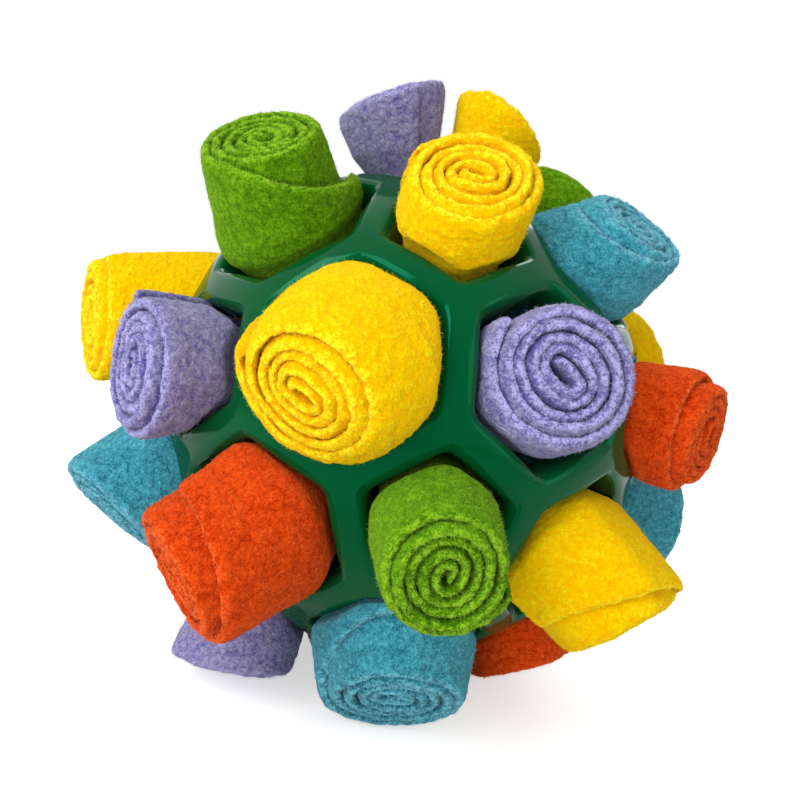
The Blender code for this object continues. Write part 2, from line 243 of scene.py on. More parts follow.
# The rolls
# Every strip is wound up tightly by hand and pushed into a hole, which squeezes it and grips it. It
# leans as it was pushed, its turns stand a little unevenly at the mouth, and its nap is short and curly.
ROLL_RADIUS = 0.0138
TIP_REACH = 0.0300  # from the ball's centre to a roll's inner end
TIP_RADIUS = 0.0092
TURNS = 5.1
CORE_RADIUS = 0.0006
PRESSED_SHARE = 0.97  # of the pitch that the fleece takes up inside the roll
RUB = 0.0005  # room for the nap between a roll and what it lies against

# The two rolls in the top hole
PAIR_SIDES = {"roll_top_left": -1, "roll_top_right": 1}
PAIR_TIP_REACH = 0.0335
PAIR_TIP_ROOM = 0.0100  # the width of each inner end
PAIR_WAIST_SHARE = 0.7  # of that width by which each lies off the hole's middle at the ribs
PAIR_FILL_SHARE = 0.72  # of the hole's radius that each takes up
PAIR_SPLIT = 0.0015  # how far right of the hole's middle they meet
SIDEWAYS = 0.05  # a way that leans towards the other roll by less than this share doesn't meet it

# The squeeze of the hole and the swell above it
GRIP = 3  # parts of the hole's axis to one of the mouth's own way, in how a roll faces at the ribs
WALL_WITHIN = RIB_WIDTH * 4  # walls further off than this are those of other holes
WIDENS_OUTWARDS = 0.9  # how fast a roll may widen above the ribs, over its length
WIDENS_INWARDS = 0.1  # and below them
SWELL_REACH = BALL_RADIUS * 1.06  # where a roll has lost half of the swell that its hole gives it
SHOULDER = 0.004  # the stretch below the mouth over which a roll draws in
SHOULDER_SHARE = 0.02  # by which it draws in

# The turns at the mouth
UNEVEN = 0.0005  # how far the turns stand above or below each other
UNEVEN_LENGTH = 1.5  # in roll radii, from one such rise to the next
WAVER_SHARE = 0.16  # of the pitch by which a turn wavers outwards or inwards
END_LIFT_SHARE = 0.35  # of the pitch by which the strip's outer end lifts off the roll
END_LIFT_LENGTH = FLEECE * 1.5
END_ROUNDING = FLEECE / 5  # how far past the strip's ends their rounding would come to a point
FOLD_SHARPNESS = 2.5
GROOVE = 0.0016  # depth of the grooves between the turns
GROOVE_SHARE = 0.25  # of the pitch that a groove takes up
HIDDEN_BY = 0.0016  # depth in a groove at which the nap lies in shadow and takes the full painted shade

# The nap in relief
TUFT_SIZE = 0.0012
TUFT_HEIGHT = 0.00019
CLUMP_SIZE = 0.0027
CLUMP_SHARE = 0.6  # of a tuft's height
CURL_HEIGHT = 0.00014
NAP_RANGE = 0.0003  # the height for which the material's nap value is 1

# What each roll's numbers say, where right and up are as seen from outside the hole:
# mouth_shares: reach along the hole's axis and stray to the right and up, in ball radii. The bottom roll
# reaches the floor, so that it gives None. turned: how far the mouth is turned to the right and up, in
# degrees. size_share: of ROLL_RADIUS.
# oval_share: the mouth's width over its length, and slit: the way of its length and of the core's flat
# fold, in degrees. fold_share: half the fold's length, in roll radii.
# lap: where the strip's outer edge ends, in degrees anticlockwise from the right.
# hand: 1 winds inwards clockwise, -1 anticlockwise.
# fill_share: the roll's radius just outside its hole over the hole's own.
# sunk: how far the outermost turn has slipped back at its end, and core_out: how far the core stands out.
# lies_shares: how far to the right and up its middle lies in the hole, in ball radii.
# slip_fades: between how many turns in from its end the outermost turn's slip fades out.
Roll = namedtuple("Roll", "mouth_shares turned size_share oval_share slit fold_share lap hand fill_share sunk"
                          " core_out lies_shares slip_fades", defaults=[(0, 0), (0.70, 1.05)])
ROLLS = {
    "roll_top_left": Roll((1.26, -0.20, -0.02), (-24, -2), 1.16, 0.95, 90, 0.10, 290, 1, 1.05, 0.001, 0),
    "roll_top_right": Roll((1.225, 0.24, -0.01), (32, 9), 1.02, 0.92, 90, 0.10, 100, -1, 1.05, 0.001, 0),
    "roll_upper_front": Roll((1.18, 0.005, 0.012), (-14, -13), 1.0, 0.93, 170, 0.13, 140, 1, 1.15, 0.0015,
                             0.0005, (-0.02, 0)),
    "roll_upper_front_right": Roll((1.21, -0.01, -0.035), (-12, 8), 0.98, 0.90, 170, 0.08, 120, -1, 1.05,
                                   0.004, 0, (0, 0), (0, 0.5)),
    "roll_upper_right": Roll((1.30, -0.02, -0.02), (-5, 5), 0.97, 0.95, 120, 0.06, 60, -1, 1.05, 0.001, 0),
    "roll_upper_back": Roll((1.25, 0.03, 0.04), (8, -5), 1.0, 0.90, 150, 0.08, 0, 1, 1.0, 0.002, 0.001),
    "roll_upper_back_left": Roll((1.20, 0.0, -0.02), (-5, 5), 0.95, 0.92, 90, 0.09, 160, -1, 1.05, 0.001, 0),
    "roll_upper_left": Roll((1.27, -0.002, 0.055), (12, 7), 1.08, 0.92, 0, 0.08, 60, 1, 0.86, 0.0135, 0,
                            (-0.08, 0), (0, 0.40)),
    "roll_high_left": Roll((1.32, 0.06, -0.235), (32, -18), 1.12, 0.90, 100, 0.10, 80, 1, 0.95, 0.001, 0),
    "roll_high_front_left": Roll((1.20, -0.005, -0.065), (0, -8), 1.11, 0.92, 90, 0.11, 120, -1, 1.10,
                                 0.0015, 0),
    "roll_high_front": Roll((1.12, -0.06, -0.175), (-10, -36), 0.99, 0.90, 145, 0.13, 170, -1, 1.20, 0.001,
                            0.001, (0.035, 0.045)),
    "roll_high_front_right": Roll((1.10, -0.068, -0.004), (-40, -8), 1.03, 0.94, 135, 0.14, 140, -1, 0.98,
                                  0.0015, -0.0005),
    "roll_high_right": Roll((1.23, -0.01, -0.07), (-19, -13), 1.04, 0.92, 90, 0.10, 325, 1, 1.08, 0.003,
                            0.001),
    "roll_high_right_back": Roll((1.17, 0.01, -0.03), (-3, 4), 0.98, 0.92, 135, 0.08, 270, 1, 1.0, 0.001, 0),
    "roll_high_back_right": Roll((1.25, -0.04, -0.05), (-8, -10), 1.02, 0.90, 150, 0.10, 210, -1, 1.04,
                                 0.002, 0),
    "roll_high_back": Roll((1.21, 0.02, -0.01), (5, 4), 0.98, 0.93, 110, 0.07, 340, 1, 1.06, 0.001, 0.0005),
    "roll_high_back_left": Roll((1.23, 0.06, 0.02), (12, 4), 1.05, 0.90, 10, 0.11, 70, -1, 1.0, 0.002, 0),
    "roll_low_left": Roll((1.24, 0.04, -0.095), (22, -26), 1.07, 0.90, 105, 0.11, 165, 1, 1.0, 0.001, 0),
    "roll_low_front_left": Roll((1.31, -0.065, 0.0), (-24, -8), 1.09, 0.92, 150, 0.08, 100, 1, 1.08,
                                0.0075, 0, (0, 0), (-0.15, 0.62)),
    "roll_low_front": Roll((1.27, -0.01, -0.005), (-5, 8), 0.91, 0.95, 80, 0.06, 345, 1, 1.08, 0.0015,
                           -0.0005),
    "roll_low_front_right": Roll((1.24, 0.085, -0.09), (6, -28), 1.12, 0.88, 20, 0.40, 210, 1, 1.05,
                                 0.0075, 0.002, (0, 0), (0, 0.5)),
    "roll_low_right": Roll((1.275, 0.025, 0.09), (0, 8), 1.0, 0.90, 30, 0.10, 220, -1, 1.0, 0.001, 0),
    "roll_low_back_right": Roll((1.22, 0.0, 0.03), (-4, 6), 0.97, 0.93, 60, 0.07, 150, 1, 1.05, 0.002, 0),
    "roll_low_back": Roll((1.24, 0.05, -0.05), (10, -8), 1.04, 0.90, 120, 0.10, 165, -1, 1.04, 0.001, 0.001),
    "roll_low_back_left": Roll((1.26, -0.05, 0.01), (-9, 3), 1.0, 0.90, 165, 0.10, 70, 1, 1.0, 0.002, 0),
    "roll_low_left_back": Roll((1.20, 0.0, 0.02), (3, -5), 0.98, 0.94, 90, 0.06, 70, -1, 1.06, 0.001, 0),
    "roll_lower_front_left": Roll((1.24, 0.045, -0.055), (14, -22), 1.07, 0.93, 135, 0.08, 255, 1, 1.05,
                                  0.001, 0),
    "roll_lower_front": Roll((1.20, -0.01, 0.005), (-2, 12), 1.15, 0.90, 175, 0.14, 92, -1, 1.12, 0.013, 0,
                             (0, 0), (0, 0.36)),
    "roll_lower_front_right": Roll((1.18, 0.0, -0.01), (-11, -10), 1.0, 0.92, 40, 0.08, 350, 1, 1.05, 0.001,
                                   0),
    "roll_lower_back_right": Roll((1.22, 0.03, 0.02), (6, 8), 1.0, 0.90, 100, 0.10, 280, -1, 1.04, 0.002, 0),
    "roll_lower_back": Roll((1.185, -0.02, 0.02), (-4, 5), 0.97, 0.93, 140, 0.08, 120, 1, 1.05, 0.001, 0),
    "roll_lower_left": Roll((1.23, -0.04, 0.03), (-8, 6), 1.02, 0.90, 5, 0.10, 330, 1, 1.0, 0.002, 0.001),
    "roll_bottom": Roll((None, 0.0, 0.0), (0, 0), 1.04, 0.96, 90, 0.05, 0, 1, 1.0, 0, 0),
}
LEVELS = 29  # places down a roll at which its outline is worked out
WAYS = 72  # ways out from its middle at each of them
BEND_ROUNDS = 4  # how softly the middle line bends in the hole
STEEPEST = 0.99  # an axis that rises more than this takes the way to the back as its up
depsgraph = bpy.context.evaluated_depsgraph_get()
ball_tree = BVHTree.FromObject(ball, depsgraph)


def ways_across(axis):
    """Unit vectors to the right and up, as seen by someone who looks into the hole from outside."""
    up = Vector((0, 0, 1)) if abs(axis.z) < STEEPEST else Vector((0, 1, 0))
    up = (up - axis * up.dot(axis)).normalized()
    return up.cross(axis), up


def middle_line(roll, axis, side, mouth, mouth_way):
    """The roll's middle line from its inner end to its mouth, and the way that it faces at each level."""
    tip_reach, tip_shift, waist_shift = TIP_REACH, 0, 0
    if side:
        tip_reach, tip_shift = PAIR_TIP_REACH, PAIR_TIP_ROOM / 2 + RUB
        waist_shift = PAIR_TIP_ROOM * PAIR_WAIST_SHARE
    right, up = ways_across(axis)
    tip = axis * tip_reach + right * (side * tip_shift)
    waist = axis * (BALL_RADIUS - RIB_DEPTH / 2) + right * (side * waist_shift)
    waist += (right * roll.lies_shares[0] + up * roll.lies_shares[1]) * BALL_RADIUS
    waist_way = (axis * GRIP + mouth_way).normalized()
    lower, upper = (waist - tip).length, (mouth - waist).length
    bend_at = lower / (lower + upper)
    points, ways = [], []
    for share in np.linspace(0, 1, LEVELS):
        if share < bend_at:
            points.append(tip.lerp(waist, share / bend_at))
            ways.append(axis.lerp(waist_way, share / bend_at).normalized())
        else:
            past = (share - bend_at) / (1 - bend_at)
            points.append(waist.lerp(mouth, past))
            ways.append(waist_way.lerp(mouth_way, past).normalized())
    for _ in range(BEND_ROUNDS):
        eased = [(before + point * 2 + after) / 4
                 for before, point, after in zip(points, points[1:], points[2:])]
        points = [points[0]] + eased + [points[-1]]
    return [BALL_CENTRE + point for point in points], ways


def soft_noise(random, first, second, size):
    """Smooth noise from -1 to 1 over two coordinates, with swellings of this size."""
    first, second = first / size, second / size
    first, second = first - first.min(), second - second.min()
    grid = random.uniform(-1, 1, (int(first.max()) + 2, int(second.max()) + 2))
    column, row = first.astype(int), second.astype(int)
    x, y = first - column, second - row
    x, y = x * x * (3 - 2 * x), y * y * (3 - 2 * y)
    low = grid[column, row] * (1 - x) + grid[column + 1, row] * x
    high = grid[column, row + 1] * (1 - x) + grid[column + 1, row + 1] * x
    return low * (1 - y) + high * y


def wall_room(points, ways, across, side, axis):
    """How far the roll may reach from its middle line, level by level and way by way."""
    right = ways_across(axis)[0]
    room = np.full((LEVELS, WAYS), np.inf)
    for level, (point, (short, long)) in enumerate(zip(points, across)):
        for way in range(WAYS):
            angle = math.tau * way / WAYS
            direction = short * math.cos(angle) + long * math.sin(angle)
            hit = ball_tree.ray_cast(point, direction, BALL_RADIUS)
            if hit[0] is not None and hit[3] < WALL_WITHIN:
                room[level, way] = hit[3] - RUB
            if side and direction.dot(right) * side < -SIDEWAYS:
                to_partner = ((point - BALL_CENTRE).dot(right) - PAIR_SPLIT) * side - RUB
                room[level, way] = min(room[level, way], to_partner / -(direction.dot(right) * side))
    return room


def squeezed(room, natural, reaches):
    """The roll's radius by level and way: it follows its natural one as far as the ribs let it."""
    radius = np.minimum(natural, room)
    step = STRIP_WIDTH / (LEVELS - 1)
    for level in range(1, LEVELS):
        if reaches[level] > BALL_RADIUS - RIB_DEPTH:
            radius[level] = np.minimum(radius[level], radius[level - 1] + step * WIDENS_OUTWARDS)
    for level in range(LEVELS - 2, -1, -1):
        if reaches[level] < BALL_RADIUS:
            radius[level] = np.minimum(radius[level], radius[level + 1] + step * WIDENS_INWARDS)
    weights = np.array([1, 3, 4, 3, 1]) / 12
    softened = sum(weight * np.roll(radius, shift, axis=1) for weight, shift in zip(weights, range(-2, 3)))
    return np.minimum(softened, room)


def sampled(table, level, way):
    """Values between those of a table by level and way, which goes full circle."""
    low = np.clip(level.astype(int), 0, LEVELS - 2)
    share = level - low
    left = np.floor(way).astype(int)
    turn = way - left
    left, right = left % WAYS, (left + 1) % WAYS
    first = table[low, left] * (1 - turn) + table[low, right] * turn
    second = table[low + 1, left] * (1 - turn) + table[low + 1, right] * turn
    return first * (1 - share) + second * share


def slipped(roll, turns_in):
    """How far the strip has slipped back into the hole, so many turns in from its outer end."""
    full, none = roll.slip_fades
    share = np.clip((none - turns_in) / (none - full), 0, 1)
    return roll.sunk * share * share * (3 - 2 * share)


def wound(roll, axis, side, seed):
    """The strip's points once it is wound up and pushed into its hole, and what its material needs."""
    random = np.random.default_rng(seed)
    right, up = ways_across(axis)
    reach_share = roll.mouth_shares[0] or BALL_CENTRE.z / BALL_RADIUS
    mouth = (axis * reach_share + right * roll.mouth_shares[1] + up * roll.mouth_shares[2]) * BALL_RADIUS
    turned = [math.sin(math.radians(angle)) for angle in roll.turned]
    straight = math.sqrt(1 - turned[0] ** 2 - turned[1] ** 2)
    mouth_way = axis * straight + right * turned[0] + up * turned[1]
    points, ways = middle_line(roll, axis, side, mouth, mouth_way)
    slit = math.radians(roll.slit)
    slit_way = right * math.cos(slit) + up * math.sin(slit)
    across = []
    for way in ways:
        long = (slit_way - way * slit_way.dot(way)).normalized()
        across.append((long.cross(way), long))

    # Natural radius at each level, then the squeeze of the hole
    radius = ROLL_RADIUS * roll.size_share
    fold = radius * roll.fold_share
    reaches = np.array([(point - BALL_CENTRE).length for point in points])
    room = wall_room(points, ways, across, side, axis)
    # The hole holds the roll between a third and two thirds of the way down its ribs
    hole_level = int(np.argmin(abs(reaches - BALL_RADIUS + RIB_DEPTH / 3)))
    inner_level = int(np.argmin(abs(reaches - BALL_RADIUS + RIB_DEPTH * 2 / 3)))
    walled = [level for level in range(LEVELS) if np.isfinite(room[level]).any()]
    clear = [np.median(room[level][np.isfinite(room[level])]) + RUB for level in walled]
    hole_radius, inner_radius = np.interp([hole_level, inner_level], walled, clear)
    tip_radius = PAIR_TIP_ROOM / 2 if side else TIP_RADIUS
    full = hole_radius * (PAIR_FILL_SHARE if side else 1) * roll.fill_share
    natural_reaches = [reaches[0], reaches[inner_level], reaches[hole_level], SWELL_REACH, reaches[-1]]
    natural_radii = [tip_radius, inner_radius, full, (full + radius) / 2, radius]
    natural = np.interp(reaches, natural_reaches, natural_radii)
    oval = math.sqrt(roll.oval_share)
    angles = np.arange(WAYS) / WAYS * math.tau
    ovals = 1 / np.hypot(np.cos(angles) / oval, np.sin(angles) * oval)
    towards_mouth = np.clip((reaches - reaches[hole_level]) / (reaches[-1] - reaches[hole_level]), 0, 1)
    natural = natural[:, None] * (1 + (ovals[None] - 1) * towards_mouth[:, None])
    body = squeezed(room, natural, reaches)

    # The strip's spiral
    pitch = (radius - FLEECE / 2 - CORE_RADIUS) / TURNS
    outer = radius - pitch / 2
    length = math.pi * TURNS * (outer + CORE_RADIUS)
    along = strip_along / STRIP_LENGTH * length
    turns_in = (outer - np.sqrt(np.maximum(outer ** 2 - pitch * along / math.pi, CORE_RADIUS ** 2))) / pitch
    lap = math.radians(roll.slit - roll.lap)
    angle = lap + roll.hand * turns_in * math.tau
    waver = soft_noise(random, along, along * 0, radius) * pitch * WAVER_SHARE
    lift = np.exp(-along / END_LIFT_LENGTH) * pitch * END_LIFT_SHARE
    end_taper = np.sqrt(np.clip((along + END_ROUNDING) / FLEECE, 0, 1))
    end_taper = end_taper * np.sqrt(np.clip((length - along + END_ROUNDING) / FLEECE, 0, 1))
    height_share = np.clip(1 - (STRIP_WIDTH - strip_up) / GROOVE, 0, 1)
    off = strip_out / FLEECE * pitch * (PRESSED_SHARE - GROOVE_SHARE * height_share) * end_taper
    spiral = outer - turns_in * pitch + waver + lift + off
    short_side = spiral * np.sin(angle)
    long_side = spiral * np.cos(angle) + fold * np.tanh(FOLD_SHARPNESS * np.cos(angle))
    way = np.arctan2(long_side, short_side) / math.tau * WAYS
    outline = radius + fold * abs(np.sin(np.arctan2(long_side, short_side)))

    # Uneven heights at the mouth, and the nap
    height = soft_noise(random, along, along * 0, radius * UNEVEN_LENGTH) * UNEVEN
    height += roll.core_out * turns_in / TURNS
    showing = np.clip((strip_up - OPEN_FROM) / OPEN_FROM, 0, 1)
    lies_at = strip_up - slipped(roll, turns_in) * showing
    level = np.clip(lies_at / STRIP_WIDTH, 0, 1) * (LEVELS - 1)
    from_mouth = STRIP_WIDTH - strip_up
    drawn_in = 1 - SHOULDER_SHARE * np.clip(1 - from_mouth / SHOULDER, 0, 1) ** 2
    scale = sampled(body, level, way) / outline * drawn_in
    tufts = soft_noise(random, along, strip_round, TUFT_SIZE)
    tufts = tufts + CLUMP_SHARE * soft_noise(random, along, strip_round, CLUMP_SIZE)
    nap = TUFT_HEIGHT * tufts + random.uniform(-1, 1, len(along)) * CURL_HEIGHT
    nap *= showing
    outward = strip_out / (FLEECE / 2)
    upward = np.sqrt(np.clip(1 - outward ** 2, 0, 1)) * (strip_up > STRIP_WIDTH - LIP - NEAR)
    ratio = 1 + nap * outward / np.maximum(spiral, FLEECE)

    centres = np.array([point[:] for point in points])
    shorts = np.array([pair[0][:] for pair in across])
    longs = np.array([pair[1][:] for pair in across])
    low = np.clip(level.astype(int), 0, LEVELS - 2)
    share = (level - low)[:, None]

    def between(table):
        return table[low] * (1 - share) + table[low + 1] * share

    result = between(centres) + between(shorts) * (short_side * scale * ratio)[:, None]
    result += between(longs) * (long_side * scale * ratio)[:, None]
    past_mouth = np.array(ways[-1][:])
    result += past_mouth * ((height * showing) + nap * upward)[:, None]
    result[:, 2] = np.maximum(result[:, 2], 0)
    on_face = strip_round < round_lip
    bared = np.where(on_face, slipped(roll, turns_in - 1), 0)
    # painted shade: none at the mouth and on the outermost turn's face, full down in the grooves and inner
    # turns
    hidden_in_shade = np.where((turns_in < 1.0) & on_face, 0.0, np.clip((from_mouth - bared) / HIDDEN_BY, 0, 1))
    # the lip share: the cut edge's own paler tone and a painted highlight on the lips' ridges
    lip = np.clip(1 - from_mouth / LIP, 0, 1) ** 2
    return result, hidden_in_shade, lip, nap / NAP_RANGE, length * scale.mean()


# Fleece: matt, with painted shade, darker and warmer, between its tufts and turns, and a paler cut edge and
# fuzz, partly their own tone and partly painted highlight
Tones = namedtuple("Tones", "body deep edge tip")
# Tones: the fleece's own colour; painted shade for grooves, dips and inner turns; the cut edge's own paler
# tone with painted highlight on the lips' ridges; the fuzz's painted highlight, also the sheen's tint
FLEECES = {
    "fleece_yellow": Tones((0.92, 0.59, 0.0), (0.92, 0.43, 0.0), (1.0, 0.88, 0.02),
                           (1.0, 0.86, 0.06)),
    "fleece_purple": Tones((0.285, 0.265, 0.44), (0.09, 0.075, 0.31), (0.45, 0.43, 0.80),
                           (0.66, 0.64, 0.82)),
    "fleece_orange": Tones((0.76, 0.068, 0.006), (0.42, 0.02, 0.0), (0.90, 0.13, 0.02),
                           (0.95, 0.26, 0.09)),
    "fleece_green": Tones((0.115, 0.30, 0.005), (0.035, 0.13, 0.0), (0.26, 0.50, 0.02),
                          (0.42, 0.66, 0.08)),
    "fleece_blue": Tones((0.052, 0.335, 0.43), (0.01, 0.125, 0.19), (0.17, 0.56, 0.70),
                         (0.40, 0.72, 0.80)),
}
TUFT_SCALE = 820.0  # tufts 1.2 mm across
CURL_SCALE = 2200.0
PATCH_SCALE = 260.0  # where the nap is worn or pressed


def fleece_material(name, tones):
    material = bpy.data.materials.new(name)
    material.use_nodes = True
    tree = material.node_tree
    shader = tree.nodes["Principled BSDF"]
    place = add_node(tree, "ShaderNodeTexCoord")
    hidden_in_shade = add_node(tree, "ShaderNodeAttribute", attribute_name="hidden_in_shade")
    lip = add_node(tree, "ShaderNodeAttribute", attribute_name="lip")
    nap = add_node(tree, "ShaderNodeAttribute", attribute_name="nap")
    tufts = add_node(tree, "ShaderNodeTexVoronoi", [
        ("Vector", place.outputs["Object"]), ("Scale", TUFT_SCALE), ("Smoothness", 0.6)], feature="SMOOTH_F1")
    curls = add_node(tree, "ShaderNodeTexNoise", [
        ("Vector", place.outputs["Object"]), ("Scale", CURL_SCALE), ("Detail", 3.0), ("Roughness", 0.7)])
    patches = add_node(tree, "ShaderNodeTexNoise", [
        ("Vector", place.outputs["Object"]), ("Scale", PATCH_SCALE), ("Detail", 3.0)])
    # painted shade in the dips of the nap and painted light on its rises
    shade_in_dips = add_node(tree, "ShaderNodeMapRange", [
        ("Value", nap.outputs["Fac"]), ("From Min", -1.0), ("From Max", 1.0), ("To Min", 0.40),
        ("To Max", -0.15)])
    # painted shade between the tufts and painted light on their tops
    shade_between_tufts = add_node(tree, "ShaderNodeMapRange", [
        ("Value", tufts.outputs["Distance"]), ("From Min", 0.25), ("From Max", 0.75), ("To Min", -0.16),
        ("To Max", 0.42)])
    worn = add_node(tree, "ShaderNodeMapRange", [
        ("Value", patches.outputs["Fac"]), ("From Min", 0.35), ("From Max", 0.65), ("To Min", -0.08),
        ("To Max", 0.12)])
    specks = add_node(tree, "ShaderNodeMapRange", [
        ("Value", curls.outputs["Fac"]), ("From Min", 0.38), ("From Max", 0.62), ("To Min", 0.45),
        ("To Max", -0.45)])
    first = add_node(tree, "ShaderNodeMath", [
        (0, shade_in_dips.outputs["Result"]), (1, shade_between_tufts.outputs["Result"])], operation="ADD")
    second = add_node(tree, "ShaderNodeMath", [
        (0, worn.outputs["Result"]), (1, specks.outputs["Result"])], operation="ADD")
    # the painted light and shade of the tufts, with the random worn patches and specks
    tuft_shade_and_mottle = add_node(tree, "ShaderNodeMath", [
        (0, first.outputs["Value"]), (1, second.outputs["Value"])], operation="ADD")
    # painted shade of grooves, dips and inner turns, with the random mottle, towards the shade tone
    painted_shade_and_mottle = add_node(tree, "ShaderNodeMath", [
        (0, tuft_shade_and_mottle.outputs["Value"]), (1, hidden_in_shade.outputs["Fac"])], operation="ADD", use_clamp=True)
    # the cut edge's own paler tone with a painted highlight on the lips' ridges, less where the tufts are
    # painted darker
    edge_tone_and_highlight = add_node(tree, "ShaderNodeMath", [
        (0, lip.outputs["Fac"]), (1, tuft_shade_and_mottle.outputs["Value"])], operation="SUBTRACT", use_clamp=True)
    edged = add_node(tree, "ShaderNodeMix", [
        ("Factor", edge_tone_and_highlight.outputs["Value"]), ("A", (*tones.body, 1)), ("B", (*tones.edge, 1))],
        data_type="RGBA")
    colour = add_node(tree, "ShaderNodeMix", [
        ("Factor", painted_shade_and_mottle.outputs["Value"]), ("A", edged.outputs["Result"]), ("B", (*tones.deep, 1))],
        data_type="RGBA")
    # painted highlight: each fibre is paled at random towards the fuzz's highlight tone
    fuzz_highlight_share = add_node(tree, "ShaderNodeAttribute", attribute_name="fuzz_highlight_share")
    with_fuzz_highlight = add_node(tree, "ShaderNodeMix", [
        ("Factor", fuzz_highlight_share.outputs["Fac"]), ("A", colour.outputs["Result"]), ("B", (*tones.tip, 1))],
        data_type="RGBA")
    tree.links.new(with_fuzz_highlight.outputs["Result"], shader.inputs["Base Color"])
    shader.inputs["Roughness"].default_value = 0.95
    shader.inputs["Specular IOR Level"].default_value = 0.0
    shader.inputs["Sheen Weight"].default_value = 0.4
    shader.inputs["Sheen Roughness"].default_value = 0.5
    shader.inputs["Sheen Tint"].default_value = (*tones.tip, 1)
    pebbles = add_node(tree, "ShaderNodeBump", [
        ("Height", tufts.outputs["Distance"]), ("Strength", 0.65), ("Distance", 0.0006)], invert=True)
    fuzz = add_node(tree, "ShaderNodeBump", [
        ("Height", curls.outputs["Fac"]), ("Strength", 0.9), ("Distance", 0.0005),
        ("Normal", pebbles.outputs["Normal"])])
    tree.links.new(fuzz.outputs["Normal"], shader.inputs["Normal"])
    return material


fleeces = {slot: fleece_material(slot, tones) for slot, tones in FLEECES.items()}
slots = {part["node"]: part["material_slot"] for part in frame["record"]["subparts"]}

# Fuzz: the loose ends that stand out of the nap, each a thin spike rooted in the fleece
FIBRES = 5600  # on each roll
FIBRE_RADIUS = 0.00004
FIBRE_LEAST, FIBRE_MOST = 0.0003, 0.0009  # how far a fibre stands out
FIBRE_ROOT = 0.00015  # how deep it starts in the fleece
FIBRE_SPREAD = 0.00025  # how far it stands to either side of its face's middle
LIP_FIBRES = 5  # how many times more of them stand on the lips
FIBRE_LEAN = 0.8  # how far it leans at random, over its own height
FIBRE_PALENESS = 0.2  # that of the darkest ones, where 1 is the colour of a cut edge; the fibres are painted pale, a painted highlight on the fuzz

spike = bmesh.new()
bmesh.ops.create_cone(spike, cap_ends=True, segments=3, radius1=FIBRE_RADIUS, radius2=0, depth=1)
bmesh.ops.translate(spike, verts=spike.verts[:], vec=(0, 0, 0.5))
spike_points = np.array([vert.co[:] for vert in spike.verts])
spike_mesh = bpy.data.meshes.new("spike")
spike.to_mesh(spike_mesh)
spike.free()
spike_maker = bpy.data.objects.new("spike", spike_mesh)
bpy.context.scene.collection.objects.link(spike_maker)
copies = spike_maker.modifiers.new("copies", "ARRAY")
copies.count = FIBRES
copies.use_relative_offset = False
depsgraph = bpy.context.evaluated_depsgraph_get()
fibre_field = bpy.data.meshes.new_from_object(spike_maker.evaluated_get(depsgraph))
bpy.data.objects.remove(spike_maker)


def standing_fibres(fleece, hidden_in_shade, lip, random):
    """The points of a roll's fibres, stood on random spots of the fleece that shows."""
    count = len(fleece.polygons)
    middles = np.zeros(count * 3)
    normals = np.zeros(count * 3)
    areas = np.zeros(count)
    starts = np.zeros(count, int)
    fleece.polygons.foreach_get("center", middles)
    fleece.polygons.foreach_get("normal", normals)
    fleece.polygons.foreach_get("area", areas)
    fleece.polygons.foreach_get("loop_start", starts)
    corners = np.zeros(len(fleece.loops), int)
    fleece.loops.foreach_get("vertex_index", corners)
    middles, normals = middles.reshape(-1, 3), normals.reshape(-1, 3)
    past_ball = np.linalg.norm(middles - np.array(BALL_CENTRE), axis=1) > BALL_RADIUS + FIBRE_LEAST
    in_view = past_ball * (hidden_in_shade[corners[starts]] < 0.5)
    weights = areas * in_view * (1 + LIP_FIBRES * lip[corners[starts]])
    spots = random.choice(count, FIBRES, p=weights / weights.sum())
    ways = normals[spots] + random.normal(0, FIBRE_LEAN / 2, (FIBRES, 3))
    ways /= np.linalg.norm(ways, axis=1)[:, None]
    across = np.cross(ways, random.normal(0, 1, (FIBRES, 3)))
    across /= np.linalg.norm(across, axis=1)[:, None]
    along = np.cross(ways, across)
    roots = middles[spots] + (across * random.uniform(-1, 1, (FIBRES, 1))) * FIBRE_SPREAD - ways * FIBRE_ROOT
    length_shares = random.uniform(0, 1, (FIBRES, 1, 1)) ** 2
    lengths = FIBRE_ROOT + FIBRE_LEAST + (FIBRE_MOST - FIBRE_LEAST) * length_shares
    points = roots[:, None] + across[:, None] * spike_points[None, :, :1]
    points = points + along[:, None] * spike_points[None, :, 1:2]
    points = points + ways[:, None] * spike_points[None, :, 2:] * lengths
    points[..., 2] = np.maximum(points[..., 2], 0)
    return points.reshape(-1, 3)


